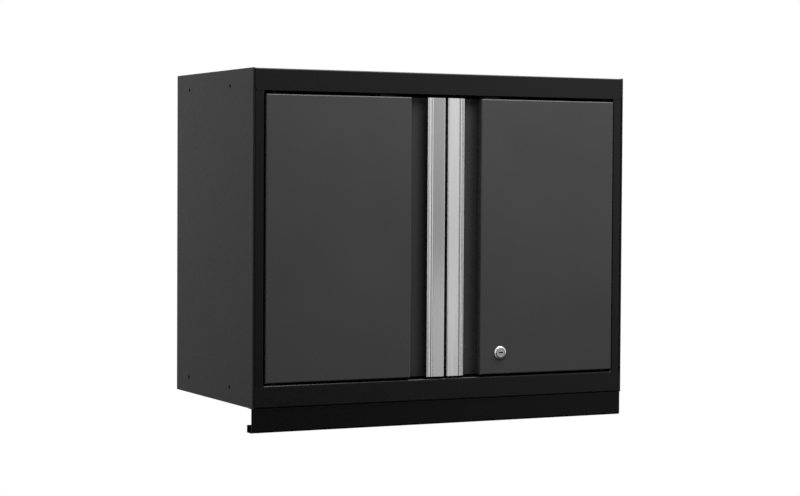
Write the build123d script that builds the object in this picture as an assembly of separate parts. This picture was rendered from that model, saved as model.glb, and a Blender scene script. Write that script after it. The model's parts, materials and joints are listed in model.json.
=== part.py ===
from build123d import *
from math import cos, radians, sin
import os

# Hanging steel wall cabinet with two hinged doors, a lock, a shelf and a light valance.
# Millimetres. +X right, +Y back (towards the wall), +Z up.
# The origin is the centre of the wall face, at the middle of the wall screw pattern.

# Carcass
WIDTH = 711.2
HEIGHT = 558.8
DEPTH = 355.6
SHEET = 1.2
BEND = 2.0
BACK_BEND = 3.0
HEM_WIDTH = 3.0
HEM_BEND = 1.4
HEM_DEPTH = 13.0
HEM_SET_BACK = 0.4
BACK_FLANGE = 18.0
BACK_STEP_IN = 3.6
BACK_STEP_RUN = 3.0
PANEL_FLANGE = 15.0

# Front frame
RAIL_STEP_DOWN = 0.6
TOP_RAIL_HEIGHT = 36.0
BOTTOM_RAIL_HEIGHT = 37.2
RAIL_TOP_BEND = 3.0
RAIL_FLANGE = 20.0
RAIL_LIP = 12.0
STILE_WIDTH = 20.1
STILE_DEPTH = 24.4
STILE_SEAM = 3.4
NOTCH = (3.4, 5.6)
BOTTOM_RAIL_STEP = 4.0
RAIL_END_GAP = 0.2

# Wall and neighbour fixings
WALL_SPACING = (406.4, 457.2)
WALL_HOLE = 4.0
HANGING_SHEET = 1.5
HANGING_HEIGHT = 50.0
HANGING_DEPTH = 12.0
HANGING_HALF = 330.0
JOIN_FROM_FRONT = 102.2
JOIN_SPACING = (190.5, 505.0)
JOIN_HOLE = 3.25

# Doors
DOOR_PROUD = 2.6
DOOR_GAP_SIDE = 2.4
DOOR_GAP_TOP = 5.9
DOOR_GAP_BOTTOM = 3.3
DOOR_THICKNESS = 22.6
DOOR_FLANGE = 6.0
CHANNEL_EDGE = 67.5
CHANNEL_DEPTH = 20.2
MEETING_GAP = 2.7
SKIN_INSET = 0.4

# Handles
HANDLE_WALL = 2.0
HANDLE_BASE = 20.0
HANDLE_PROUD = 19.4
HANDLE_CORNER = 1.5
FACE_SLOPE = 0.055
FINE_GROOVE = (21.6, 0.8, 0.5)
RIB = (22.6, 4.8, 0.9)
RIB_GROOVE = 0.4
LIP = (30.6, 16.4, 2.1)
LIP_START = 142.0
LIP_END = -166.0
HANDLE_SCREW_X = 12.0
HANDLE_SCREW_PITCH = 200.0

# Pivot hinges
PIVOT_IN = 15.0
PIVOT_BACK = 8.0
PIN = 2.5
PIN_HOLE = 2.6
PIN_COLLAR = (4.2, 1.5)
PIN_HEAD = (3.2, 2.0)
PIN_REACH = 7.5
BUSH_CLEARANCE = 0.05
BUSH = (4.0, 9.0)
BUSH_RIM = (5.2, 1.5)

# Lock
LOCK_X = 106.2
LOCK_UP = 37.2
LOCK_BARREL = 9.5
LOCK_RIM = 11.8
LOCK_PROUD = 4.0
PLUG = 6.6
PLUG_HEAD = 7.6
PLUG_CLEARANCE = 0.05
PLUG_RECESS = 0.3
PLUG_HEAD_LENGTH = 1.2
PLUG_BEVEL = 0.4
KEYWAY = (8.6, 2.3, 6.0)
BARREL_BEHIND = 2.6
NUT = (13.5, 2.4)
CAM_CLEARANCE = 0.3
CAM_REACH = 48.0
CAM_ROOT = 8.0
CAM_TIP = 6.0
CAM_SHEET = 2.0
CAM_SQUARE = 7.0
CAM_SCREW_HEAD = (5.0, 2.4)
CAM_SCREW_GRIP = 7.0

# Magnetic catches
CATCH_X = (84.0, 116.0)
CATCH_HEIGHT = 24.0
CATCH_OVER = 4.0
CATCH_DEPTH = 17.3
CATCH_LEDGE = 2.6
CATCH_CORNER = 1.5
CATCH_SCREW_IN = 7.0
CATCH_SCREW_GRIP = 6.0
CATCH_RIVET_DOWN = 3.6
MAGNET_MARGIN = 5.0
MAGNET = (10.0, 8.0)
STRIKE_SHEET = 1.0
STRIKE_OVER = 10.0
STRIKE_GAP = 0.3
STRIKE_MARGIN = 2.0

# Shelf
SHELF_HALF = 346.4
SHELF_Y = (-312.0, -16.0)
SHELF_Z = (-10.0, 10.0)
SHELF_LIP = 12.0
STANDARD_Y = (-285.0, -45.0)
STANDARD_WIDTH = 16.0
STANDARD_DEPTH = 6.0
STANDARD_HALF = 215.0
STIFFENER_TOP = 30.0
STIFFENER_FLANGE = 15.0
STIFFENER_UP = 4.0
STIFFENER_INSET = 2.0
SLOT = (8.0, 4.0)
SLOT_PITCH = 25.4
SLOT_ROWS = 8
CLIP_SHEET = 2.5
CLIP_REACH = 13.0
CLIP_PLAY = 0.2
CLIP_LEG = (1.4, 9.0)
CLIP_TONGUE = 3.0
CLIP_HOOK = 5.0

# Light valance
VALANCE_SET_BACK = 4.0
VALANCE_DROP = 40.8
VALANCE_DEPTH = 19.4
VALANCE_LIP = 12.5
VALANCE_FLANGE = 13.6
VALANCE_SCREWS_X = (-300.0, -100.0, 100.0, 300.0)

# Fasteners
SCREW = 1.75
SCREW_HOLE = 1.9
SCREW_HEAD = (3.4, 2.0)
RIVET = 1.6
RIVET_HOLE = 1.7
RIVET_HEAD = (2.8, 0.9)

# Derived planes
HALF_WIDTH = WIDTH / 2
HALF_HEIGHT = HEIGHT / 2
FRONT = -DEPTH
WALL_IN = HALF_WIDTH - SHEET
RAIL_OUT = HALF_HEIGHT - RAIL_STEP_DOWN
PLATE_OUT = RAIL_OUT - SHEET
PLATE_IN = PLATE_OUT - SHEET
FRAME_BACK = FRONT + SHEET
JAMB = HALF_WIDTH - STILE_WIDTH
SEAM = HALF_WIDTH - STILE_SEAM
TOP_RAIL_LOW = RAIL_OUT - TOP_RAIL_HEIGHT
BOTTOM_RAIL_HIGH = -RAIL_OUT + BOTTOM_RAIL_HEIGHT
RAIL_BACK = FRONT + RAIL_FLANGE
DOOR_OUT = JAMB - DOOR_GAP_SIDE
DOOR_HIGH = TOP_RAIL_LOW - DOOR_GAP_TOP
DOOR_LOW = BOTTOM_RAIL_HIGH + DOOR_GAP_BOTTOM
DOOR_MIDDLE = (DOOR_HIGH + DOOR_LOW) / 2
DOOR_FRONT = FRONT - DOOR_PROUD
DOOR_BACK = DOOR_FRONT + DOOR_THICKNESS
DOOR_SKIN = DOOR_BACK - SHEET
DOOR_IN = MEETING_GAP + SKIN_INSET
CHANNEL_FLOOR = DOOR_FRONT + CHANNEL_DEPTH
PIVOT_X = DOOR_OUT - PIVOT_IN
PIVOT_Y = DOOR_FRONT + PIVOT_BACK
LOCK_Z = DOOR_LOW + LOCK_UP
LOCK_FACE = DOOR_FRONT - LOCK_PROUD
CAM_FRONT = DOOR_BACK + BARREL_BEHIND + CAM_CLEARANCE
CATCH_FRONT = DOOR_BACK + STRIKE_SHEET + STRIKE_GAP
CATCH_REAR = CATCH_FRONT + CATCH_DEPTH
CATCH_LOW = DOOR_HIGH + CATCH_OVER - CATCH_HEIGHT
CATCH_MIDDLE = CATCH_LOW + CATCH_HEIGHT / 2
STANDARD_IN = WALL_IN - STANDARD_DEPTH


def bent_sheet(points, radii, thickness=SHEET):
    """Section of a bent sheet. The points run along its outer face, with the sheet on their left."""
    face = [Vector(*point) for point in points]
    steps = [(end - start).normalized() for start, end in zip(face, face[1:])]
    normals = [Vector(-step.Y, step.X) for step in steps]
    inside = [face[0] + normals[0] * thickness]
    face_radii = []
    inside_radii = []
    for corner, before, after, radius in zip(face[1:], normals, normals[1:], radii):
        inside.append(corner + (before + after) * (thickness / (1 + before.dot(after))))
        left_turn = before.cross(after).Z > 0
        face_radii.append(radius if left_turn else radius - thickness)
        inside_radii.append(radius - thickness if left_turn else radius)
    inside.append(face[-1] + normals[-1] * thickness)
    outline = face + inside[::-1]
    corner_radii = [0, *face_radii, 0, 0, *inside_radii[::-1], 0]
    return make_face(FilletPolyline(*outline, radius=corner_radii, close=True))


def along_x(section, low, high):
    """A (y, z) section carried along X."""
    return extrude(Plane.YZ.offset(low) * section, amount=high - low)


def along_y(section, low, high):
    """An (x, z) section carried along Y."""
    return extrude(Plane.XZ.offset(-high) * section, amount=high - low)


def along_z(section, low, high):
    """An (x, y) section carried along Z."""
    return extrude(Plane.XY.offset(low) * section, amount=high - low)


def block(x, y, z):
    """A box between (low, high) pairs."""
    size = [high - low for low, high in (x, y, z)]
    middle = [(high + low) / 2 for low, high in (x, y, z)]
    return Pos(*middle) * Box(*size)


def rod(radius, start, end):
    """A round bar from one point to another."""
    length = (Vector(*end) - Vector(*start)).length
    place = Plane(origin=start, z_dir=Vector(*end) - Vector(*start))
    return place * Cylinder(radius, length, align=(Align.CENTER, Align.CENTER, Align.MIN))


def screw_along_y(x, z, under_head, tip, head=SCREW_HEAD, shank=SCREW):
    """A pan-head screw along Y. The head stands on under_head, on the side away from the tip."""
    away = 1 if tip < under_head else -1
    radius, height = head
    cap = rod(radius, (x, under_head, z), (x, under_head + away * height, z))
    rim = cap.edges().filter_by(GeomType.CIRCLE).sort_by(Axis.Y)[-1 if away > 0 else 0]
    return fillet(rim, height * 0.4) + rod(shank, (x, under_head, z), (x, tip, z))


def rivet_along_y(x, z, front, back):
    """A rivet along Y, with its head on the rear face."""
    radius, height = RIVET_HEAD
    return rod(RIVET, (x, front, z), (x, back, z)) + rod(radius, (x, back, z), (x, back + height, z))


def screw_along_z(x, y, under_head, tip, head=SCREW_HEAD, shank=SCREW):
    """A pan-head screw along Z. The head hangs below under_head and the tip is above it."""
    radius, height = head
    cap = rod(radius, (x, y, under_head), (x, y, under_head - height))
    rim = cap.edges().filter_by(GeomType.CIRCLE).sort_by(Axis.Z)[0]
    return fillet(rim, height * 0.4) + rod(shank, (x, y, under_head), (x, y, tip))


def side_panel():
    """One sheet: a hem at the front edge, the side wall and a flange against the wall."""
    hem_in = HALF_WIDTH - HEM_WIDTH
    hem_front = FRONT + HEM_SET_BACK
    section = bent_sheet(
        [
            (hem_in, hem_front + HEM_DEPTH),
            (hem_in, hem_front),
            (HALF_WIDTH, hem_front),
            (HALF_WIDTH, 0),
            (HALF_WIDTH - BACK_FLANGE, 0),
        ],
        [HEM_BEND, HEM_BEND, BACK_BEND],
    )
    panel = along_z(section, -HALF_HEIGHT, HALF_HEIGHT)
    outline = Pos(-DEPTH / 2, 0) * RectangleRounded(DEPTH, HEIGHT, BACK_BEND)
    front_square = Pos(-DEPTH * 0.75, 0) * Rectangle(DEPTH / 2, HEIGHT)
    panel = panel & along_x(outline + front_square, 0, WIDTH)
    for y in (FRONT + JOIN_FROM_FRONT, FRONT + JOIN_FROM_FRONT + JOIN_SPACING[0]):
        for z in (-JOIN_SPACING[1] / 2, JOIN_SPACING[1] / 2):
            panel -= rod(JOIN_HOLE, (WALL_IN - 5, y, z), (HALF_WIDTH + 5, y, z))
    return panel


def top_panel():
    """A folded tray with flanges down on all four sides and open corners."""
    flange_end = PLATE_OUT - PANEL_FLANGE
    across = bent_sheet(
        [(WALL_IN, flange_end), (WALL_IN, PLATE_OUT), (-WALL_IN, PLATE_OUT), (-WALL_IN, flange_end)],
        [BEND, BEND],
    )
    back = -SHEET
    endways = bent_sheet(
        [(back, flange_end), (back, PLATE_OUT), (FRAME_BACK, PLATE_OUT), (FRAME_BACK, flange_end)],
        [BEND, BEND],
    )
    behind_stile = FRAME_BACK + STILE_DEPTH + 2
    plate = block((-SEAM, SEAM), (FRAME_BACK + BEND, -2 * SHEET), (PLATE_IN, PLATE_OUT))
    return (
        along_y(across, behind_stile, -5)
        + along_x(endways, -HANGING_HALF, HANGING_HALF)
        + plate
    )


def bottom_panel():
    """The top panel turned over, with the valance screw holes."""
    panel = mirror(top_panel(), about=Plane.XY)
    return panel - valance_screw_holes()


def back_panel():
    """Flush with the side flanges, with its two edges stepped in behind them."""
    flush_x = HALF_WIDTH - BACK_FLANGE - BACK_STEP_IN
    step_x = flush_x + BACK_STEP_RUN
    edge_x = HALF_WIDTH - BACK_BEND - 0.2
    half = [(edge_x, -SHEET), (step_x, -SHEET), (flush_x, 0)]
    section = bent_sheet(half + [(-x, y) for x, y in half[::-1]], [BEND] * 4)
    return along_z(section, -PLATE_IN, PLATE_IN) - wall_holes()


def wall_holes():
    """The four wall screw holes."""
    holes = Part()
    for x in (-WALL_SPACING[0] / 2, WALL_SPACING[0] / 2):
        for z in (-WALL_SPACING[1] / 2, WALL_SPACING[1] / 2):
            holes += rod(WALL_HOLE, (x, -2 * HANGING_DEPTH, z), (x, 5, z))
    return holes


def hanging_rail(middle):
    """A channel across the inside of the back panel, open to the front."""
    low = middle - HANGING_HEIGHT / 2
    high = middle + HANGING_HEIGHT / 2
    front = -SHEET - HANGING_DEPTH
    section = bent_sheet(
        [(front, low), (-SHEET, low), (-SHEET, high), (front, high)],
        [BEND, BEND],
        HANGING_SHEET,
    )
    return along_x(section, -HANGING_HALF, HANGING_HALF) - wall_holes()


def stile():
    """A box-shaped upright: weld leg on the side wall, jamb, face and a short return."""
    back = FRAME_BACK + STILE_DEPTH
    section = bent_sheet(
        [
            (WALL_IN, back),
            (JAMB, back),
            (JAMB, FRAME_BACK),
            (SEAM, FRAME_BACK),
            (SEAM, FRAME_BACK + RAIL_LIP),
        ],
        [BEND, BEND, BEND],
    )
    return along_z(section, -PLATE_IN, PLATE_IN)


def top_rail():
    """Front rail above the doors, lapped over both stiles, with notched lower corners."""
    between = bent_sheet(
        [
            (FRONT + PANEL_FLANGE, RAIL_OUT),
            (FRONT, RAIL_OUT),
            (FRONT, TOP_RAIL_LOW),
            (RAIL_BACK, TOP_RAIL_LOW),
            (RAIL_BACK, TOP_RAIL_LOW + RAIL_LIP),
        ],
        [BEND, BEND, BEND],
    )
    lapped = bent_sheet(
        [(FRONT + PANEL_FLANGE, RAIL_OUT), (FRONT, RAIL_OUT), (FRONT, TOP_RAIL_LOW)],
        [BEND],
    )
    half = JAMB - RAIL_END_GAP
    rail = along_x(between, -half, half) + along_x(lapped, -SEAM, SEAM)
    for side in (-1, 1):
        corner = Polyline(
            (side * SEAM, TOP_RAIL_LOW),
            (side * (SEAM - NOTCH[0]), TOP_RAIL_LOW),
            (side * SEAM, TOP_RAIL_LOW + NOTCH[1]),
            close=True,
        )
        rail -= along_y(make_face(corner), FRONT - 1, FRAME_BACK + 1)
        rail -= rod(PIN_HOLE, (side * PIVOT_X, PIVOT_Y, 0), (side * PIVOT_X, PIVOT_Y, RAIL_OUT - 5))
    return rail - catch_rivet_holes()


def bottom_rail():
    """Front rail below the doors, lapped over both stiles, with a hooked top flange for the lock."""
    between = bent_sheet(
        [
            (RAIL_BACK, BOTTOM_RAIL_HIGH - RAIL_LIP),
            (RAIL_BACK, BOTTOM_RAIL_HIGH),
            (FRONT, BOTTOM_RAIL_HIGH),
            (FRONT, -RAIL_OUT),
            (FRONT + PANEL_FLANGE, -RAIL_OUT),
        ],
        [BEND, RAIL_TOP_BEND, BEND],
    )
    lapped = bent_sheet(
        [
            (FRONT, BOTTOM_RAIL_HIGH - BOTTOM_RAIL_STEP),
            (FRONT, -RAIL_OUT),
            (FRONT + PANEL_FLANGE, -RAIL_OUT),
        ],
        [BEND],
    )
    half = JAMB - RAIL_END_GAP
    rail = along_x(between, -half, half) + along_x(lapped, -SEAM, SEAM)
    for side in (-1, 1):
        rail -= rod(PIN_HOLE, (side * PIVOT_X, PIVOT_Y, 0), (side * PIVOT_X, PIVOT_Y, -RAIL_OUT + 5))
    return rail - valance_screw_holes()


def light_valance():
    """A J-shaped strip under the front: top flange, face, floor and a short lip at the back."""
    face = FRONT + VALANCE_SET_BACK
    low = -HALF_HEIGHT - VALANCE_DROP
    lip = face + VALANCE_DEPTH
    section = bent_sheet(
        [
            (face + VALANCE_FLANGE, -RAIL_OUT),
            (face, -RAIL_OUT),
            (face, low),
            (lip, low),
            (lip, low + VALANCE_LIP),
        ],
        [BEND, BACK_BEND, BEND],
    )
    valance = along_x(section, -HALF_WIDTH, HALF_WIDTH)
    for side in (-1, 1):
        ends = sorted((side * (SEAM - 0.2), side * (HALF_WIDTH + 1)))
        valance -= block(ends, (FRONT, lip), (-HALF_HEIGHT - 0.3, -HALF_HEIGHT + 5))
    return valance - valance_screw_holes()


def valance_screw_y():
    """The line of the valance screws, along the middle of the valance's top flange."""
    return FRONT + VALANCE_SET_BACK + VALANCE_FLANGE / 2


def valance_screw_holes():
    """Clearance holes through the valance, the bottom rail and the bottom panel."""
    holes = Part()
    y = valance_screw_y()
    for x in VALANCE_SCREWS_X:
        holes += rod(SCREW_HOLE, (x, y, -HALF_HEIGHT - 5), (x, y, -HALF_HEIGHT + 9))
    return holes


def valance_screws():
    """Four screws, heads up against the valance's top flange."""
    screws = Part()
    for x in VALANCE_SCREWS_X:
        screws += screw_along_z(x, valance_screw_y(), -RAIL_OUT - SHEET, -PLATE_IN + 2)
    return screws


def door_outer_panel():
    """A pan with the finger channel's floor beside it, for the right-hand door."""
    door_z = (DOOR_LOW, DOOR_HIGH)
    pan = block((CHANNEL_EDGE, DOOR_OUT), (DOOR_FRONT, DOOR_SKIN), door_z)
    pan = fillet(pan.faces().sort_by(Axis.Y)[0].edges(), BEND)
    hollow = block(
        (CHANNEL_EDGE + SHEET, DOOR_OUT - SHEET),
        (DOOR_FRONT + SHEET, DOOR_BACK),
        (DOOR_LOW + SHEET, DOOR_HIGH - SHEET),
    )
    hollow = fillet(hollow.faces().sort_by(Axis.Y)[0].edges(), BEND - SHEET)
    floor = block((DOOR_IN, CHANNEL_EDGE + SHEET), (CHANNEL_FLOOR, DOOR_SKIN), door_z)
    panel = pan - hollow + floor
    corner = [
        edge
        for edge in panel.edges().filter_by(Axis.Z)
        if (edge.center() - Vector(CHANNEL_EDGE, CHANNEL_FLOOR, DOOR_MIDDLE)).length < 0.1
    ]
    panel = fillet(corner, BEND - SHEET)
    pivot_low = (PIVOT_X, PIVOT_Y, -HALF_HEIGHT)
    pivot_high = (PIVOT_X, PIVOT_Y, HALF_HEIGHT)
    panel -= rod(BUSH[0] + BUSH_CLEARANCE, pivot_low, pivot_high)
    return panel - handle_screw_holes()


def door_inner_panel():
    """The door's back skin, with a low rim that nests inside the pan."""
    skin = block((DOOR_IN, DOOR_OUT), (DOOR_SKIN, DOOR_BACK), (DOOR_LOW, DOOR_HIGH))
    rim_x = (CHANNEL_EDGE + SHEET, DOOR_OUT - SHEET)
    rim_z = (DOOR_LOW + SHEET, DOOR_HIGH - SHEET)
    rim = block(rim_x, (DOOR_SKIN - DOOR_FLANGE, DOOR_SKIN), rim_z)
    rim -= block(
        (rim_x[0] + SHEET, rim_x[1] - SHEET),
        (DOOR_SKIN - DOOR_FLANGE, DOOR_SKIN),
        (rim_z[0] + SHEET, rim_z[1] - SHEET),
    )
    return skin + rim - handle_screw_holes() - strike_rivet_holes()


def handle():
    """An open extrusion: base, leg at the meeting edge, sloping ribbed face and a rolled finger lip."""

    def at(across, proud):
        return (MEETING_GAP + across, CHANNEL_FLOOR - proud)

    def face(across, rise=0.0):
        return at(across, HANDLE_PROUD - FACE_SLOPE * (across - HANDLE_CORNER) + rise)

    def lip(degrees):
        across, proud, radius = LIP
        angle = radians(degrees)
        return at(across + radius * cos(angle), proud + radius * sin(angle))

    wall = HANDLE_WALL
    corner = HANDLE_CORNER
    bulge = corner * (1 - cos(radians(45)))
    groove, groove_width, groove_depth = FINE_GROOVE
    rib, rib_width, rib_height = RIB
    outline = Line(at(0, 0), at(0, HANDLE_PROUD - corner))
    outline += ThreePointArc(at(0, HANDLE_PROUD - corner), at(bulge, HANDLE_PROUD - bulge), face(corner))
    outline += Polyline(
        face(corner),
        face(groove),
        face(groove, -groove_depth),
        face(groove + groove_width, -groove_depth),
        face(rib),
    )
    outline += ThreePointArc(
        face(rib), face(rib + rib_width / 2, rib_height), face(rib + rib_width, -RIB_GROOVE)
    )
    outline += Line(face(rib + rib_width, -RIB_GROOVE), lip(LIP_START))
    outline += ThreePointArc(lip(LIP_START), lip((LIP_START + LIP_END) / 2), lip(LIP_END))
    outline += Polyline(
        lip(LIP_END),
        face(wall, -wall),
        at(wall, wall),
        at(HANDLE_BASE, wall),
        at(HANDLE_BASE, 0),
        at(0, 0),
    )
    return along_z(make_face(outline), DOOR_LOW, DOOR_HIGH) - handle_screw_holes()


def handle_screw_places():
    """The x, z places of one handle's three screws."""
    return [
        (MEETING_GAP + HANDLE_SCREW_X, DOOR_MIDDLE + row * HANDLE_SCREW_PITCH) for row in (-1, 0, 1)
    ]


def handle_screw_holes():
    """Clearance holes through the handle's base, the channel floor and the back skin."""
    holes = Part()
    for x, z in handle_screw_places():
        holes += rod(SCREW_HOLE, (x, CHANNEL_FLOOR - HANDLE_WALL - 1, z), (x, DOOR_BACK + 1, z))
    return holes


def handle_screws():
    """Three screws driven from behind the door."""
    screws = Part()
    for x, z in handle_screw_places():
        screws += screw_along_y(x, z, DOOR_BACK, CHANNEL_FLOOR - HANDLE_WALL - 2)
    return screws


def hinge_pin(upper):
    """A shouldered pin riveted through a rail's flange, pointing into the door."""
    into = -1 if upper else 1
    flange = TOP_RAIL_LOW if upper else BOTTOM_RAIL_HIGH
    door_edge = DOOR_HIGH if upper else DOOR_LOW

    def at(height):
        return (PIVOT_X, PIVOT_Y, height)

    collar = rod(PIN_COLLAR[0], at(flange), at(flange + into * PIN_COLLAR[1]))
    outside = flange - into * SHEET
    head = rod(PIN_HEAD[0], at(outside), at(outside - into * PIN_HEAD[1]))
    shaft = rod(PIN, at(outside), at(door_edge + into * PIN_REACH))
    return collar + head + shaft


def hinge_bush(upper):
    """A flanged nylon bush pressed into the door's edge."""
    into = -1 if upper else 1
    edge = DOOR_HIGH if upper else DOOR_LOW

    def at(height):
        return (PIVOT_X, PIVOT_Y, height)

    sleeve = rod(BUSH[0], at(edge), at(edge + into * BUSH[1]))
    rim = rod(BUSH_RIM[0], at(edge), at(edge - into * BUSH_RIM[1]))
    bore = rod(PIN + BUSH_CLEARANCE, at(edge - into * 5), at(edge + into * (BUSH[1] + 1)))
    return sleeve + rim - bore


def lock_turned(outline):
    """A turned piece about the lock's axis, from a closed (radius, y) outline."""
    return Pos(LOCK_X, 0, LOCK_Z) * revolve(make_face(outline), Axis.Y)


def lock_housing():
    """Domed rim, counterbore for the plug's head and a barrel through the door."""
    counterbore = PLUG_HEAD + 0.1
    crown = PLUG_HEAD + 0.6
    seat = LOCK_FACE + PLUG_RECESS + PLUG_HEAD_LENGTH + 0.1
    bore = PLUG + PLUG_CLEARANCE
    barrel_end = DOOR_BACK + BARREL_BEHIND
    shoulder = (LOCK_RIM - 1.1, LOCK_FACE + 1.4)
    outline = ThreePointArc((LOCK_RIM, DOOR_FRONT), shoulder, (crown, LOCK_FACE))
    outline += Polyline(
        (crown, LOCK_FACE),
        (counterbore, LOCK_FACE),
        (counterbore, seat),
        (bore, seat),
        (bore, barrel_end),
        (LOCK_BARREL, barrel_end),
        (LOCK_BARREL, DOOR_FRONT),
        (LOCK_RIM, DOOR_FRONT),
    )
    return lock_turned(outline)


def lock_holes():
    """The lock's hole through both skins of the right-hand door."""
    front = (LOCK_X, DOOR_FRONT - 1, LOCK_Z)
    return rod(LOCK_BARREL + 0.1, front, (LOCK_X, DOOR_BACK + 1, LOCK_Z))


def lock_nut():
    """A thin hexagon nut on the barrel, behind the door."""
    radius, height = NUT
    hexagon = Pos(LOCK_X, LOCK_Z) * (RegularPolygon(radius, 6) - Circle(LOCK_BARREL + 0.05))
    return along_y(hexagon, DOOR_BACK, DOOR_BACK + height)


def lock_plug():
    """The turning core: head with a keyway, round body and a square end for the cam."""
    face = LOCK_FACE + PLUG_RECESS
    neck = face + PLUG_HEAD_LENGTH
    outline = Polyline(
        (0, face),
        (PLUG_HEAD - PLUG_BEVEL, face),
        (PLUG_HEAD, face + PLUG_BEVEL),
        (PLUG_HEAD, neck),
        (PLUG, neck),
        (PLUG, CAM_FRONT),
        (0, CAM_FRONT),
        (0, face),
    )
    half = CAM_SQUARE / 2
    square = block(
        (LOCK_X - half, LOCK_X + half),
        (CAM_FRONT, CAM_FRONT + CAM_SHEET - 0.2),
        (LOCK_Z - half, LOCK_Z + half),
    )
    length, height, depth = KEYWAY
    keyway = block(
        (LOCK_X - length / 2, LOCK_X + length / 2),
        (face - 1, face + depth),
        (LOCK_Z - height / 2, LOCK_Z + height / 2),
    )
    hole_end = (LOCK_X, CAM_FRONT - CAM_SCREW_GRIP - 1, LOCK_Z)
    screw_hole = rod(SCREW + 0.1, hole_end, (LOCK_X, CAM_FRONT + 5, LOCK_Z))
    return lock_turned(outline) + square - keyway - screw_hole


def lock_cam():
    """A flat arm that points sideways unlocked, and down behind the bottom rail's hook locked."""
    root = Pos(LOCK_X, LOCK_Z) * Circle(CAM_ROOT)
    tip = Pos(LOCK_X + CAM_REACH - CAM_TIP, LOCK_Z) * Circle(CAM_TIP)
    cam = along_y(make_hull(root.edges() + tip.edges()), CAM_FRONT, CAM_FRONT + CAM_SHEET)
    half = CAM_SQUARE / 2 + 0.05
    return cam - block((LOCK_X - half, LOCK_X + half), (FRONT, 0), (LOCK_Z - half, LOCK_Z + half))


def cam_screw():
    """The screw that clamps the cam on the plug's square end."""
    under_head = CAM_FRONT + CAM_SHEET
    return screw_along_y(LOCK_X, LOCK_Z, under_head, CAM_FRONT - CAM_SCREW_GRIP, head=CAM_SCREW_HEAD)


def catch_bracket():
    """A Z-shaped strip from the top rail's lip, back and down behind the catch."""
    ledge = TOP_RAIL_LOW + CATCH_LEDGE
    section = bent_sheet(
        [
            (RAIL_BACK, TOP_RAIL_LOW + RAIL_LIP),
            (RAIL_BACK, ledge),
            (CATCH_REAR, ledge),
            (CATCH_REAR, CATCH_LOW - 1),
        ],
        [BEND, BEND],
    )
    return along_x(section, *CATCH_X) - catch_screw_holes() - catch_rivet_holes()


def catch_housing():
    """The plastic case of the magnetic catch, with a pocket in its face."""
    case = block(CATCH_X, (CATCH_FRONT, CATCH_REAR), (CATCH_LOW, CATCH_LOW + CATCH_HEIGHT))
    case = fillet(case.edges().filter_by(Axis.Y), CATCH_CORNER)
    return case - catch_magnet() - catch_screw_holes()


def catch_magnet():
    """The magnet, flush in the catch's face."""
    height, depth = MAGNET
    return block(
        (CATCH_X[0] + MAGNET_MARGIN, CATCH_X[1] - MAGNET_MARGIN),
        (CATCH_FRONT, CATCH_FRONT + depth),
        (CATCH_MIDDLE - height / 2, CATCH_MIDDLE + height / 2),
    )


def catch_screw_holes():
    """Two holes through the bracket into the catch."""
    holes = Part()
    for x in (CATCH_X[0] + CATCH_SCREW_IN, CATCH_X[1] - CATCH_SCREW_IN):
        inner_end = (x, CATCH_REAR - CATCH_SCREW_GRIP - 1, CATCH_MIDDLE)
        holes += rod(SCREW_HOLE, inner_end, (x, CATCH_REAR + 5, CATCH_MIDDLE))
    return holes


def catch_screws():
    """Two screws from behind the bracket."""
    screws = Part()
    for x in (CATCH_X[0] + CATCH_SCREW_IN, CATCH_X[1] - CATCH_SCREW_IN):
        screws += screw_along_y(x, CATCH_MIDDLE, CATCH_REAR + SHEET, CATCH_REAR - CATCH_SCREW_GRIP)
    return screws


def catch_rivet_places():
    """The x, z places of the two rivets that hold one bracket to the rail."""
    z = TOP_RAIL_LOW + RAIL_LIP - CATCH_RIVET_DOWN
    return [(x, z) for x in (CATCH_X[0] + CATCH_SCREW_IN, CATCH_X[1] - CATCH_SCREW_IN)]


def catch_rivet_holes():
    """Holes for both brackets' rivets, left and right."""
    holes = Part()
    for x, z in catch_rivet_places():
        for side in (-1, 1):
            holes += rod(RIVET_HOLE, (side * x, RAIL_BACK - 3, z), (side * x, RAIL_BACK + 3, z))
    return holes


def catch_rivets():
    """Two rivets through the rail's lip and the bracket, with a head at each end."""
    radius, height = RIVET_HEAD
    front = RAIL_BACK - SHEET
    rivets = Part()
    for x, z in catch_rivet_places():
        rivets += rivet_along_y(x, z, front, RAIL_BACK + SHEET)
        rivets += rod(radius, (x, front - height, z), (x, front, z))
    return rivets


def strike_plate():
    """The steel plate on the door's back that the catch pulls on."""
    plate = block(
        (CATCH_X[0] - STRIKE_OVER, CATCH_X[1] + STRIKE_OVER),
        (DOOR_BACK, DOOR_BACK + STRIKE_SHEET),
        (CATCH_LOW + STRIKE_MARGIN, DOOR_HIGH - STRIKE_MARGIN),
    )
    plate = fillet(plate.edges().filter_by(Axis.Y), STRIKE_MARGIN)
    return plate - strike_rivet_holes()


def strike_rivet_places():
    """The x, z places of the strike plate's two rivets, outside the catch."""
    middle = (CATCH_LOW + DOOR_HIGH) / 2
    return [(x, middle) for x in (CATCH_X[0] - STRIKE_OVER / 2, CATCH_X[1] + STRIKE_OVER / 2)]


def strike_rivet_holes():
    """Holes for the strike plate's rivets."""
    holes = Part()
    for x, z in strike_rivet_places():
        holes += rod(RIVET_HOLE, (x, DOOR_SKIN - 1, z), (x, DOOR_BACK + STRIKE_SHEET + 1, z))
    return holes


def strike_rivets():
    """Two blind rivets through the strike plate and the back skin."""
    rivets = Part()
    for x, z in strike_rivet_places():
        rivets += rivet_along_y(x, z, DOOR_SKIN - 0.8, DOOR_BACK + STRIKE_SHEET)
    return rivets


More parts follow.
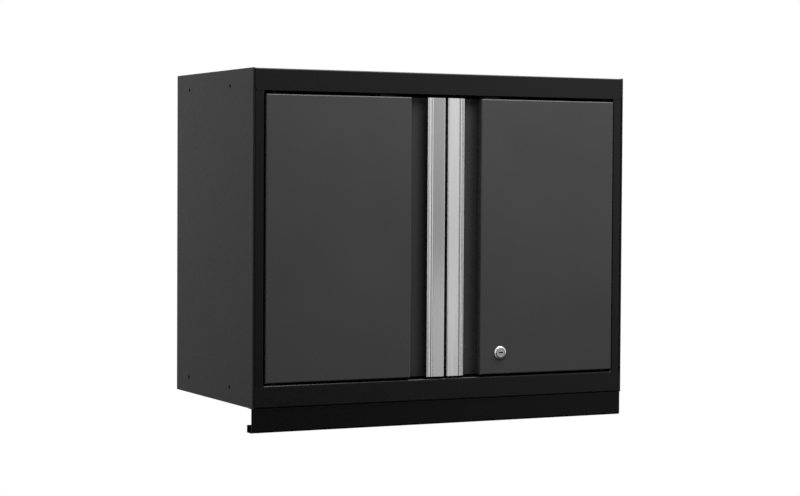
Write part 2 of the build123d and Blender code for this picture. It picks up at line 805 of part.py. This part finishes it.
def shelf_standard(middle):
    """A slotted channel welded to the side wall."""
    low = middle - STANDARD_WIDTH / 2
    high = middle + STANDARD_WIDTH / 2
    section = bent_sheet(
        [(WALL_IN, high), (STANDARD_IN, high), (STANDARD_IN, low), (WALL_IN, low)],
        [BEND, BEND],
    )
    standard = along_z(section, -STANDARD_HALF, STANDARD_HALF)
    for row in range(-SLOT_ROWS, SLOT_ROWS):
        z = (row + 0.5) * SLOT_PITCH
        standard -= block(
            (STANDARD_IN - 1, STANDARD_IN + SHEET + 0.5),
            (middle - SLOT[0] / 2, middle + SLOT[0] / 2),
            (z - SLOT[1] / 2, z + SLOT[1] / 2),
        )
    return standard


def shelf_clip(middle):
    """A steel clip: ledge, leg against the channel, tongue through the slot and a hook behind it."""
    slot_z = -SLOT_PITCH / 2
    ledge_top = SHELF_Z[0] - CLIP_PLAY
    half = SLOT[0] / 2 - CLIP_PLAY
    y = (middle - half, middle + half)
    tongue_low = slot_z - SLOT[1] / 2 + CLIP_PLAY
    tongue_high = slot_z + SLOT[1] / 2 - CLIP_PLAY
    tongue_end = STANDARD_IN + CLIP_TONGUE
    ledge = block((STANDARD_IN - CLIP_REACH, STANDARD_IN), y, (ledge_top - CLIP_SHEET, ledge_top))
    leg = block((STANDARD_IN - CLIP_LEG[0], STANDARD_IN), y, (slot_z - CLIP_LEG[1], ledge_top))
    tongue = block((STANDARD_IN, tongue_end), y, (tongue_low, tongue_high))
    hook_x = (STANDARD_IN + SHEET + CLIP_PLAY, tongue_end)
    hook = block(hook_x, y, (tongue_low, tongue_high + CLIP_HOOK))
    return ledge + leg + tongue + hook


def shelf_panel():
    """A folded tray, open below, with turned-in lips along its front and back."""
    shelf = block((-SHELF_HALF, SHELF_HALF), SHELF_Y, SHELF_Z)
    shelf = fillet(shelf.faces().sort_by(Axis.Z)[-1].edges(), BEND)
    hollow = block(
        (-SHELF_HALF + SHEET, SHELF_HALF - SHEET),
        (SHELF_Y[0] + SHEET, SHELF_Y[1] - SHEET),
        (SHELF_Z[0] - SHEET, SHELF_Z[1] - SHEET),
    )
    hollow = fillet(hollow.faces().sort_by(Axis.Z)[-1].edges(), BEND - SHEET)
    lip_x = (-SHELF_HALF + 2 * SHEET, SHELF_HALF - 2 * SHEET)
    lip_z = (SHELF_Z[0], SHELF_Z[0] + SHEET)
    front_lip = block(lip_x, (SHELF_Y[0], SHELF_Y[0] + SHELF_LIP), lip_z)
    back_lip = block(lip_x, (SHELF_Y[1] - SHELF_LIP, SHELF_Y[1]), lip_z)
    return shelf - hollow + front_lip + back_lip


def shelf_stiffener():
    """A hat channel under the middle of the shelf."""
    middle = (SHELF_Y[0] + SHELF_Y[1]) / 2
    top = SHELF_Z[1] - SHEET
    low = SHELF_Z[0] + STIFFENER_UP
    wall = middle + STIFFENER_TOP
    half = [(wall + STIFFENER_FLANGE, top), (wall, top), (wall, low)]
    section = bent_sheet(half + [(2 * middle - y, z) for y, z in half[::-1]], [BEND] * 4)
    return along_x(section, -SHELF_HALF + STIFFENER_INSET, SHELF_HALF - STIFFENER_INSET)


def write(name, piece):
    """Write one piece to its own file."""
    export_step(piece, os.path.join("parts", name + ".step"))


def write_pair(name, right_piece):
    """Write a right-hand piece and its mirror image."""
    write("right_" + name, right_piece)
    write("left_" + name, mirror(right_piece, about=Plane.YZ))


def four_clips():
    """The four shelf clips as one group."""
    right = shelf_clip(STANDARD_Y[0]) + shelf_clip(STANDARD_Y[1])
    return right + mirror(right, about=Plane.YZ)


os.makedirs("parts", exist_ok=True)

write_pair("side_panel", side_panel())
write_pair("stile", stile())
write("top_panel", top_panel())
write("bottom_panel", bottom_panel())
write("back_panel", back_panel())
write("upper_hanging_rail", hanging_rail(WALL_SPACING[1] / 2))
write("lower_hanging_rail", hanging_rail(-WALL_SPACING[1] / 2))
write("top_rail", top_rail())
write("bottom_rail", bottom_rail())
write("light_valance", light_valance())
write("valance_screws", valance_screws())

write_pair("front_shelf_standard", shelf_standard(STANDARD_Y[0]))
write_pair("rear_shelf_standard", shelf_standard(STANDARD_Y[1]))
write("shelf_clips", four_clips())
write("shelf_panel", shelf_panel())
write("shelf_stiffener", shelf_stiffener())

write_pair("upper_hinge_pin", hinge_pin(True))
write_pair("lower_hinge_pin", hinge_pin(False))
write_pair("upper_hinge_bush", hinge_bush(True))
write_pair("lower_hinge_bush", hinge_bush(False))

write_pair("catch_bracket", catch_bracket())
write_pair("catch_housing", catch_housing())
write_pair("catch_magnet", catch_magnet())
write_pair("catch_screws", catch_screws())
write_pair("catch_rivets", catch_rivets())
write_pair("strike_plate", strike_plate())
write_pair("strike_rivets", strike_rivets())

outer = door_outer_panel()
inner = door_inner_panel()
write("right_door_outer_panel", outer - lock_holes())
write("right_door_inner_panel", inner - lock_holes())
write("left_door_outer_panel", mirror(outer, about=Plane.YZ))
write("left_door_inner_panel", mirror(inner, about=Plane.YZ))
write_pair("handle", handle())
write_pair("handle_screws", handle_screws())

write("lock_housing", lock_housing())
write("lock_nut", lock_nut())
write("lock_plug", lock_plug())
write("lock_cam", lock_cam())
write("cam_screw", cam_screw())
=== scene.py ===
import json
import math

import bmesh
import bpy
from mathutils import Matrix, Vector


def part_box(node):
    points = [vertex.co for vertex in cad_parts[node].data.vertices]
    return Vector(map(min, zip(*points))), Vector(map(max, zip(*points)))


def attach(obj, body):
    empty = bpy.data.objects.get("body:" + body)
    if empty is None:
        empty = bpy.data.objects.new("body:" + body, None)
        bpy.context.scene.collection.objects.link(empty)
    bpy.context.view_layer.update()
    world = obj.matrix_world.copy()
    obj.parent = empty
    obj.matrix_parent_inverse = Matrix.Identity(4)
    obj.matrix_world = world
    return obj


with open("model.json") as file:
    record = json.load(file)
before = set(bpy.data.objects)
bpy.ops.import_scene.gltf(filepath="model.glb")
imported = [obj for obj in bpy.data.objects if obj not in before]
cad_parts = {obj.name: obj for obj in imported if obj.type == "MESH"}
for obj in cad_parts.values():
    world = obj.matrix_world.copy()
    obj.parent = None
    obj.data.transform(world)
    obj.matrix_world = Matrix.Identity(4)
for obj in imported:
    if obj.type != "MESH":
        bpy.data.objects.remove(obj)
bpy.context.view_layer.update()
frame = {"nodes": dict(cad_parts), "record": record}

# Camera: where it stands, in metres in the cabinet's frame, and how it is turned, in degrees
CAMERA_AT = (-1.6500, -3.4853, 0.1009)
CAMERA_YAW = 26.533
CAMERA_PITCH = -1.946
CAMERA_ROLL = 0.326
CAMERA_LENS = 93.18
SENSOR = 36.0

MM_IN_METRE = 1000

# Thickness of the side panels' sheet, in metres like every length below
SIDE_SHEET = 0.0012

# Blanking caps: (radius, distance inwards from the side wall's inner face) from the back of the cup,
# round its rim in the hole, to the middle of its floor
CAP_OUTLINE = (
    (0, 0.0032), (0.0024, 0.0032), (0.0034, 0.0028), (0.0037, 0.0022), (0.0038, 0.0009),
    (0.0050, 0.0006), (0.0052, 0.0002), (0.0052, 0), (0.0032, 0), (0.0032, -0.0010),
    (0.0030, -0.0011), (0.0029, 0.0020), (0.0022, 0.0024), (0, 0.0024),
)

# Dark plate just behind the keyway, painted shade that keeps the slot dark: half sizes, how far behind the
# plug's face its front and back lie, how far its middle bows forward, the ridge's height and the steps in
# half its length
SHADE_PLATE_HALF_LENGTH = 0.0042
SHADE_PLATE_HALF_HEIGHT = 0.00105
SHADE_PLATE_FRONT = 0.0009
SHADE_PLATE_BACK = 0.0030
SHADE_PLATE_BOW = 0.0004
SHADE_PLATE_RIDGE = 0.0002
SHADE_PLATE_STEPS = 4

# The middle range of a noise value, which holds most of it
NOISE_MIDDLE = (0.3, 0.7)

# Powder coat: how far from a bend its edge is paled, as wear and painted highlight, how well softened and
# true surface agree where the paling starts and where it is full, how far the painted shade in a corner
# reaches, and how open to the sky the sheet is where that painted shade is thickest and where it ends
WEAR_AND_HIGHLIGHT_RADIUS = 0.0012
WEAR_AND_HIGHLIGHT_AGREEMENT = (0.995, 0.85)
PAINTED_SHADE_REACH = 0.03
PAINTED_SHADE_OPENNESS = (0.15, 0.95)

# Heights of the relief in each finish
PEEL_RELIEF = 0.00001
GRAIN_RELIEF = 0.000012
BRUSHED_RELIEF = 0.000006
METAL_RELIEF = 0.000004
PLASTIC_RELIEF = 0.00002

# A new piece's faces that meet at more than this many degrees keep a sharp edge
SHARP_EDGE = 35

# Floor: how far below the cabinet's origin, and how wide
FLOOR_LEVEL = -3.4
FLOOR_RADIUS = 8

# Soft lights: place, the point it faces, size and power in watts. The second falls on the handles
# alone, and the third on the bottom rail alone, for the glint along its upper bend
OVERHEAD = ((0.35, -0.85, 1.15), (0.0, -0.4, 0), (1.6, 0.7), 28)
HANDLE_KICKER = ((0.78, -2.20, -0.42), (0, -0.36, -0.2), (0.78, 0.56), 0.5)
RAIL_GLINT = ((0.00, -1.12, 0.62), (-0.34, -0.36, -0.28), (0.3, 0.4), 5.0)

# Studio surround: brightness by direction round the cabinet (0 is the front, positive to its right)
# times brightness by height above the horizon, in degrees, for the room, the white backdrop and the
# right-hand panel
ROOM_ROUND = ((-180, 0.25), (-90, 0.25), (-45, 0.28), (10, 0.30), (30, 0.34), (85, 0.40), (180, 0.25))
ROOM_HEIGHT = ((-90, 0.10), (-14, 0.06), (-5, 0.19), (3, 1.13), (35, 1.15), (55, 1.80), (90, 2.00))
BACKDROP_ROUND = (
    (-180, 0.52), (-125, 0.52), (-95, 1.15), (-60, 1.00), (-38, 0.10), (-25, 0.00), (75, 0.00),
    (105, 1.12), (180, 0.52),
)
BACKDROP_HEIGHT = ((-90, 0.25), (-12, 0.58), (0, 0.98), (35, 1.05), (90, 1.10))
PANEL_ROUND = ((-180, 0.00), (22, 0.00), (33, 0.60), (70, 0.65), (95, 0.40), (120, 0.00), (180, 0.00))
PANEL_HEIGHT = ((-90, 0.00), (-12, 0.00), (-5, 0.74), (2, 1.04), (30, 1.05), (55, 0.10), (90, 0.00))


def place_camera():
    """The camera, aimed by yaw from +Y towards +X, pitch above the horizon and a slight roll."""
    yaw, pitch, roll = (math.radians(angle) for angle in (CAMERA_YAW, CAMERA_PITCH, CAMERA_ROLL))
    ahead = Vector((math.sin(yaw) * math.cos(pitch), math.cos(yaw) * math.cos(pitch), math.sin(pitch)))
    level = Vector((math.cos(yaw), -math.sin(yaw), 0))
    above = level.cross(ahead)
    right = level * math.cos(roll) + above * math.sin(roll)
    up = above * math.cos(roll) - level * math.sin(roll)
    data = bpy.data.cameras.new("camera")
    data.lens = CAMERA_LENS
    data.sensor_width = SENSOR
    data.clip_end = 50
    camera = bpy.data.objects.new("camera", data)
    camera.matrix_world = Matrix.Translation(CAMERA_AT) @ Matrix((right, up, -ahead)).transposed().to_4x4()
    bpy.context.scene.collection.objects.link(camera)
    bpy.context.scene.camera = camera


def softbox(name, at, toward, size, power, only=()):
    """A rectangular soft light, on everything or only on the named nodes."""
    data = bpy.data.lights.new(name, "AREA")
    data.shape = "RECTANGLE"
    data.size, data.size_y = size
    data.energy = power
    light = bpy.data.objects.new(name, data)
    light.location = at
    aim = Vector(toward) - Vector(at)
    light.rotation_euler = aim.to_track_quat("-Z", "Y").to_euler()
    light.visible_camera = False
    bpy.context.scene.collection.objects.link(light)
    if only:
        receivers = bpy.data.collections.new(name + "_receivers")
        for node in only:
            receivers.objects.link(frame["nodes"][node])
        light.light_linking.receiver_collection = receivers


def curve_of(nodes, links, direction, low, high, stops):
    """A brightness over a direction, from (degrees, value) stops between low and high."""
    remap = nodes.new("ShaderNodeMapRange")
    remap.inputs["From Min"].default_value = math.radians(low)
    remap.inputs["From Max"].default_value = math.radians(high)
    links.new(direction, remap.inputs["Value"])
    ramp = nodes.new("ShaderNodeValToRGB")
    links.new(remap.outputs["Result"], ramp.inputs["Fac"])
    elements = ramp.color_ramp.elements
    while len(elements) < len(stops):
        elements.new(0.5)
    for element, (degrees, value) in zip(elements, stops):
        element.position = (degrees - low) / (high - low)
    for element, (degrees, value) in zip(elements, stops):
        element.color = (value, value, value, 1)
    return ramp.outputs["Color"]


def math_node(nodes, links, operation, *values):
    """One math node over sockets or numbers."""
    node = nodes.new("ShaderNodeMath")
    node.operation = operation
    for socket, value in zip(node.inputs, values):
        if isinstance(value, (int, float)):
            socket.default_value = value
        else:
            links.new(value, socket)
    return node.outputs[0]


def surround_studio():
    """A surround that is white to look at, and lights from behind, the right and above."""
    world = bpy.data.worlds.new("studio")
    world.use_nodes = True
    bpy.context.scene.world = world
    nodes, links = world.node_tree.nodes, world.node_tree.links
    nodes.clear()
    place = nodes.new("ShaderNodeTexCoord")
    split = nodes.new("ShaderNodeSeparateXYZ")
    links.new(place.outputs["Generated"], split.inputs[0])
    x, y, z = split.outputs
    forward = math_node(nodes, links, "MULTIPLY", y, -1.0)
    turn = math_node(nodes, links, "ARCTAN2", x, forward)
    height = math_node(nodes, links, "ARCSINE", z)
    parts = []
    surround = (
        (ROOM_ROUND, ROOM_HEIGHT),
        (BACKDROP_ROUND, BACKDROP_HEIGHT),
        (PANEL_ROUND, PANEL_HEIGHT),
    )
    for around, above in surround:
        sideways = curve_of(nodes, links, turn, -180, 180, around)
        upright = curve_of(nodes, links, height, -90, 90, above)
        parts.append(math_node(nodes, links, "MULTIPLY", sideways, upright))
    room_and_backdrop = math_node(nodes, links, "ADD", parts[0], parts[1])
    total = math_node(nodes, links, "ADD", room_and_backdrop, parts[2])
    seen = nodes.new("ShaderNodeBackground")
    seen.inputs["Color"].default_value = (1, 1, 1, 1)
    lighting = nodes.new("ShaderNodeBackground")
    links.new(total, lighting.inputs["Color"])
    path = nodes.new("ShaderNodeLightPath")
    mix = nodes.new("ShaderNodeMixShader")
    output = nodes.new("ShaderNodeOutputWorld")
    links.new(path.outputs["Is Camera Ray"], mix.inputs["Fac"])
    links.new(lighting.outputs[0], mix.inputs[1])
    links.new(seen.outputs[0], mix.inputs[2])
    links.new(mix.outputs[0], output.inputs["Surface"])


def hang_lights():
    """The three soft lights, out of the camera's sight."""
    softbox("overhead", *OVERHEAD)
    softbox("handle_kicker", *HANDLE_KICKER, only=("left_handle", "right_handle"))
    softbox("rail_glint", *RAIL_GLINT, only=("bottom_rail",))


def lay_floor():
    """A round pale floor, well below the hanging cabinet, that takes no part in lighting it."""
    bpy.ops.mesh.primitive_circle_add(
        vertices=96, radius=FLOOR_RADIUS, fill_type="NGON", location=(0, 0, FLOOR_LEVEL)
    )
    floor = bpy.context.object
    floor.name = "studio_floor"
    material, nodes, links, shader = new_material("floor_paper")
    shader.inputs["Roughness"].default_value = 0.9
    shader.inputs["Specular IOR Level"].default_value = 0.2
    fibres = noise(nodes, links, scale=30, detail=4)
    tint(nodes, links, shader, fibres, (0.82, 0.82, 0.82), (0.86, 0.86, 0.86))
    floor.data.materials.append(material)
    floor.visible_glossy = False
    floor.visible_diffuse = False


def new_material(name):
    """An empty node material with its one shader."""
    material = bpy.data.materials.new(name)
    material.use_nodes = True
    nodes, links = material.node_tree.nodes, material.node_tree.links
    return material, nodes, links, nodes["Principled BSDF"]


def noise(nodes, links, scale, detail=2, roughness=0.5, stretch=(1, 1, 1)):
    """A noise value over the piece, in features per metre, stretched along the axes."""
    place = nodes.new("ShaderNodeTexCoord")
    mapping = nodes.new("ShaderNodeMapping")
    mapping.inputs["Scale"].default_value = stretch
    links.new(place.outputs["Object"], mapping.inputs["Vector"])
    pattern = nodes.new("ShaderNodeTexNoise")
    pattern.inputs["Scale"].default_value = scale
    pattern.inputs["Detail"].default_value = detail
    pattern.inputs["Roughness"].default_value = roughness
    links.new(mapping.outputs["Vector"], pattern.inputs["Vector"])
    return pattern.outputs["Fac"]


def spread(nodes, links, value, low, high):
    """A pattern's middle range mapped on to low..high."""
    remap = nodes.new("ShaderNodeMapRange")
    remap.inputs["From Min"].default_value = NOISE_MIDDLE[0]
    remap.inputs["From Max"].default_value = NOISE_MIDDLE[1]
    remap.inputs["To Min"].default_value = low
    remap.inputs["To Max"].default_value = high
    links.new(value, remap.inputs["Value"])
    return remap.outputs["Result"]


def tint(nodes, links, shader, value, dark, light):
    """Base colour that varies between two shades with a pattern."""
    mix = nodes.new("ShaderNodeMix")
    mix.data_type = "RGBA"
    links.new(spread(nodes, links, value, 0, 1), mix.inputs["Factor"])
    mix.inputs["A"].default_value = (*dark, 1)
    mix.inputs["B"].default_value = (*light, 1)
    links.new(mix.outputs["Result"], shader.inputs["Base Color"])
    return mix


def raise_grain(nodes, links, shader, layers):
    """Bump from (value, height in metres) layers, one over the other."""
    below = None
    for value, height in layers:
        bump = nodes.new("ShaderNodeBump")
        bump.inputs["Distance"].default_value = height
        links.new(value, bump.inputs["Height"])
        if below is not None:
            links.new(below, bump.inputs["Normal"])
        below = bump.outputs["Normal"]
    links.new(below, shader.inputs["Normal"])


def edge_wear_and_highlight(nodes, links, radius, patches):
    """0 on flat sheet, rising to 1 on edges and bends where a pattern lets the rubbing show: wear and
    painted highlight.
    """
    softened = nodes.new("ShaderNodeBevel")
    softened.samples = 4
    softened.inputs["Radius"].default_value = radius
    surface = nodes.new("ShaderNodeNewGeometry")
    agree = nodes.new("ShaderNodeVectorMath")
    agree.operation = "DOT_PRODUCT"
    links.new(softened.outputs["Normal"], agree.inputs[0])
    links.new(surface.outputs["Normal"], agree.inputs[1])
    edge = nodes.new("ShaderNodeMapRange")
    edge.inputs["From Min"].default_value = WEAR_AND_HIGHLIGHT_AGREEMENT[0]
    edge.inputs["From Max"].default_value = WEAR_AND_HIGHLIGHT_AGREEMENT[1]
    links.new(agree.outputs["Value"], edge.inputs["Value"])
    return math_node(nodes, links, "MULTIPLY", edge.outputs["Result"], spread(nodes, links, patches, 0.2, 1))


def recess_shade(nodes, links, reach):
    """1 on open sheet, falling to 0 deep in gaps and corners: the mask of the painted shade."""
    cover = nodes.new("ShaderNodeAmbientOcclusion")
    cover.samples = 8
    cover.inputs["Distance"].default_value = reach
    open_part = nodes.new("ShaderNodeMapRange")
    open_part.inputs["From Min"].default_value = PAINTED_SHADE_OPENNESS[0]
    open_part.inputs["From Max"].default_value = PAINTED_SHADE_OPENNESS[1]
    links.new(cover.outputs["AO"], open_part.inputs["Value"])
    return open_part.outputs["Result"]


def powder_coat(name, shade, roughness=0.30, specular=0.25, rubbed_and_lit=0.03, corner_shade=0.3):
    """Fine-textured powder coat: grain, orange peel, faint cloud, edges paler as wear and painted highlight,
    painted shade in corners.

    The edge lightening is how much paler the edges get, as wear and painted highlight, and the corner factor
    the share of the shade left in the corners, as painted shade.
    """
    material, nodes, links, shader = new_material(name)
    shader.inputs["Specular IOR Level"].default_value = specular
    grain = noise(nodes, links, scale=1400, detail=2, roughness=0.6)
    peel = noise(nodes, links, scale=260, detail=1)
    cloud = noise(nodes, links, scale=7, detail=3)
    patches = noise(nodes, links, scale=45, detail=3)
    coat = tint(nodes, links, shader, cloud, [c * 0.94 for c in shade], [c * 1.06 for c in shade])
    # Edges and bends paler: partly wear, partly painted highlight
    worn_and_lit = nodes.new("ShaderNodeMix")
    worn_and_lit.data_type = "RGBA"
    links.new(edge_wear_and_highlight(nodes, links, WEAR_AND_HIGHLIGHT_RADIUS, patches), worn_and_lit.inputs["Factor"])
    links.new(coat.outputs["Result"], worn_and_lit.inputs["A"])
    worn_and_lit.inputs["B"].default_value = (*[c + rubbed_and_lit for c in shade], 1)
    # Corners and gaps darker: painted shade where shade falls
    painted_shade_mix = nodes.new("ShaderNodeMix")
    painted_shade_mix.data_type = "RGBA"
    links.new(recess_shade(nodes, links, PAINTED_SHADE_REACH), painted_shade_mix.inputs["Factor"])
    painted_shade_mix.inputs["A"].default_value = (*[c * corner_shade for c in shade], 1)
    links.new(worn_and_lit.outputs["Result"], painted_shade_mix.inputs["B"])
    links.new(painted_shade_mix.outputs["Result"], shader.inputs["Base Color"])
    links.new(spread(nodes, links, peel, roughness - 0.04, roughness + 0.04), shader.inputs["Roughness"])
    raise_grain(nodes, links, shader, [(peel, PEEL_RELIEF), (grain, GRAIN_RELIEF)])
    return material


def brushed_aluminium(name):
    """Anodised aluminium, brushed along its length."""
    material, nodes, links, shader = new_material(name)
    shader.inputs["Metallic"].default_value = 1
    shader.inputs["Anisotropic"].default_value = 0.6
    strokes = noise(nodes, links, scale=2600, detail=3, stretch=(1, 1, 0.006))
    long_strokes = noise(nodes, links, scale=700, detail=2, stretch=(1, 1, 0.004))
    tint(nodes, links, shader, strokes, (0.74, 0.74, 0.75), (0.82, 0.82, 0.83))
    links.new(spread(nodes, links, long_strokes, 0.18, 0.27), shader.inputs["Roughness"])
    raise_grain(nodes, links, shader, [(strokes, BRUSHED_RELIEF)])
    surface = nodes.new("ShaderNodeNewGeometry")
    across = nodes.new("ShaderNodeVectorMath")
    across.operation = "CROSS_PRODUCT"
    across.inputs[1].default_value = (0, 0, 1)
    links.new(surface.outputs["Normal"], across.inputs[0])
    links.new(across.outputs["Vector"], shader.inputs["Tangent"])
    return material


def bright_metal(name, dark, light, roughness):
    """Plated or ground metal with faint handling marks."""
    material, nodes, links, shader = new_material(name)
    shader.inputs["Metallic"].default_value = 1
    smudge = noise(nodes, links, scale=120, detail=4, roughness=0.6)
    fine = noise(nodes, links, scale=900, detail=2)
    tint(nodes, links, shader, smudge, dark, light)
    links.new(spread(nodes, links, smudge, roughness * 0.7, roughness * 1.4), shader.inputs["Roughness"])
    raise_grain(nodes, links, shader, [(fine, METAL_RELIEF)])
    return material


def moulded_plastic(name, shade, roughness=0.5, specular=0.4):
    """Moulded plastic with a spark-eroded grain."""
    material, nodes, links, shader = new_material(name)
    shader.inputs["Specular IOR Level"].default_value = specular
    grain = noise(nodes, links, scale=2200, detail=2)
    cloud = noise(nodes, links, scale=60, detail=2)
    tint(nodes, links, shader, cloud, [c * 0.92 for c in shade], [c * 1.08 for c in shade])
    links.new(spread(nodes, links, cloud, roughness - 0.05, roughness + 0.05), shader.inputs["Roughness"])
    raise_grain(nodes, links, shader, [(grain, PLASTIC_RELIEF)])
    return material


def finishes():
    """One material for each of the record's slots."""
    return {
        "frame_paint": powder_coat(
            "frame_powder_coat", (0.0026, 0.0026, 0.0028), 0.27, specular=0.30, rubbed_and_lit=0.01, corner_shade=0.8
        ),
        # The valance's black is a darker copy of the frame's coat: painted shade under the bottom rail
        "valance_paint": powder_coat(
            "valance_powder_coat_shaded", (0.0018, 0.0018, 0.0019), 0.27, specular=0.22, rubbed_and_lit=0.008, corner_shade=0.8
        ),
        # The side panels' black is a lighter copy of the frame's coat: painted light on the sides
        "side_paint": powder_coat(
            "side_powder_coat_lit", (0.012, 0.012, 0.0124), 0.36, specular=0.12, rubbed_and_lit=0.0, corner_shade=0.5
        ),
        "carcass_paint": powder_coat("carcass_powder_coat", (0.022, 0.022, 0.0226), 0.36),
        "door_paint": powder_coat("door_powder_coat", (0.049, 0.049, 0.050)),
        "handle_aluminium": brushed_aluminium("handle_aluminium"),
        "lock_chrome": bright_metal("lock_chrome", (0.72, 0.72, 0.74), (0.78, 0.78, 0.80), 0.20),
        "zinc_steel": bright_metal("zinc_plate", (0.50, 0.50, 0.49), (0.62, 0.62, 0.63), 0.32),
        # Near-black metal: on the hinge pins and the keyway's plate it is painted shade, dark as the gap and
        # slot round them
        "black_steel": bright_metal("black_steel", (0.007, 0.007, 0.0075), (0.012, 0.012, 0.0125), 0.42),
        # Near-black and almost unreflecting: on the bolt-hole caps and the hinge bushes it is painted shade,
        # dark as the holes and gaps
        "nylon": moulded_plastic("nylon", (0.003, 0.003, 0.003), roughness=0.6, specular=0.04),
        "catch_plastic": moulded_plastic("catch_plastic", (0.03, 0.03, 0.03)),
        "magnet_steel": bright_metal("magnet_steel", (0.28, 0.28, 0.29), (0.36, 0.36, 0.37), 0.4),
    }


def dress_cad_nodes():
    """Every CAD node takes the finish of its slot in the record."""
    finish = finishes()
    for part in frame["record"]["subparts"]:
        mesh = frame["nodes"][part["node"]].data
        mesh.materials.clear()
        mesh.materials.append(finish[part["material_slot"]])
    return finish


def turned(name, outline, axis, places, steps=32):
    """Round pieces turned from a (radius, along) outline about an axis through each place."""
    mesh = bmesh.new()
    axis = Vector(axis).normalized()
    sideways = axis.orthogonal().normalized()
    for place in places:
        ring = [mesh.verts.new(place + axis * along + sideways * radius) for radius, along in outline]
        edges = [mesh.edges.new(pair) for pair in zip(ring, ring[1:])]
        bmesh.ops.spin(
            mesh, geom=ring + edges, cent=place, axis=axis, angle=math.tau, steps=steps, use_duplicate=False
        )
    bmesh.ops.remove_doubles(mesh, verts=mesh.verts, dist=1e-6)
    bmesh.ops.recalc_face_normals(mesh, faces=mesh.faces)
    return piece_of(name, mesh)


def piece_of(name, mesh):
    """A smooth-shaded object from a bmesh, with its sharp edges kept."""
    data = bpy.data.meshes.new(name)
    mesh.to_mesh(data)
    mesh.free()
    data.shade_smooth()
    data.set_sharp_from_angle(angle=math.radians(SHARP_EDGE))
    piece = bpy.data.objects.new(name, data)
    bpy.context.scene.collection.objects.link(piece)
    return piece


def finish_piece(piece, body, slot, finish):
    """A new piece rides on its body and takes its slot's material."""
    piece.data.materials.append(finish[slot])
    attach(piece, body)


def cap_bolt_holes(finish):
    """Cupped blanking caps in the unused neighbour-bolt holes, pushed in from inside both side walls:
    painted shade lining the holes.
    """
    mounts = {mount["name"]: mount for mount in frame["record"]["mounts"]}
    for side in ("left", "right"):
        mount = mounts[side + "_neighbour_bolts"]
        inward = -Vector(mount["axis"])
        inner_face = Vector(mount["pos_m"]) + inward * SIDE_SHEET
        half_depth = mount["dims"]["spacing_x_mm"] / 2 / MM_IN_METRE
        half_height = mount["dims"]["spacing_y_mm"] / 2 / MM_IN_METRE
        places = [
            inner_face + Vector((0, y, z))
            for y in (-half_depth, half_depth)
            for z in (-half_height, half_height)
        ]
        caps = turned(side + "_bolt_hole_caps", CAP_OUTLINE, inward, places)
        finish_piece(caps, "cabinet", "nylon", finish)


def fit_keyway_shade_plate(finish):
    """A near-black plate just behind the plug's face: painted shade that keeps the keyway dark."""
    low, high = (Vector(corner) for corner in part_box("lock_plug"))
    centre = (low + high) / 2
    mesh = bmesh.new()
    rings = []
    for step in range(2 * SHADE_PLATE_STEPS + 1):
        along = step / SHADE_PLATE_STEPS - 1
        x = centre.x + SHADE_PLATE_HALF_LENGTH * along
        bow = SHADE_PLATE_BOW * (1 - along ** 2)
        face, back = low.y + SHADE_PLATE_FRONT - bow, low.y + SHADE_PLATE_BACK
        corners = [
            (face, -SHADE_PLATE_HALF_HEIGHT),
            (face - SHADE_PLATE_RIDGE, -SHADE_PLATE_HALF_HEIGHT / 3),
            (face - SHADE_PLATE_RIDGE, SHADE_PLATE_HALF_HEIGHT / 3),
            (face, SHADE_PLATE_HALF_HEIGHT),
            (back, SHADE_PLATE_HALF_HEIGHT),
            (back, -SHADE_PLATE_HALF_HEIGHT),
        ]
        rings.append([mesh.verts.new((x, y, centre.z + z)) for y, z in corners])
    for before, after in zip(rings, rings[1:]):
        for index in range(len(before)):
            following = (index + 1) % len(before)
            mesh.faces.new((before[index], before[following], after[following], after[index]))
    mesh.faces.new(rings[0])
    mesh.faces.new(rings[-1][::-1])
    bmesh.ops.recalc_face_normals(mesh, faces=mesh.faces)
    finish_piece(piece_of("keyway_shade_plate", mesh), "lock_core", "black_steel", finish)


bpy.context.scene.view_settings.view_transform = "Standard"
place_camera()
surround_studio()
hang_lights()
lay_floor()
piece_finish = dress_cad_nodes()
cap_bolt_holes(piece_finish)
fit_keyway_shade_plate(piece_finish)
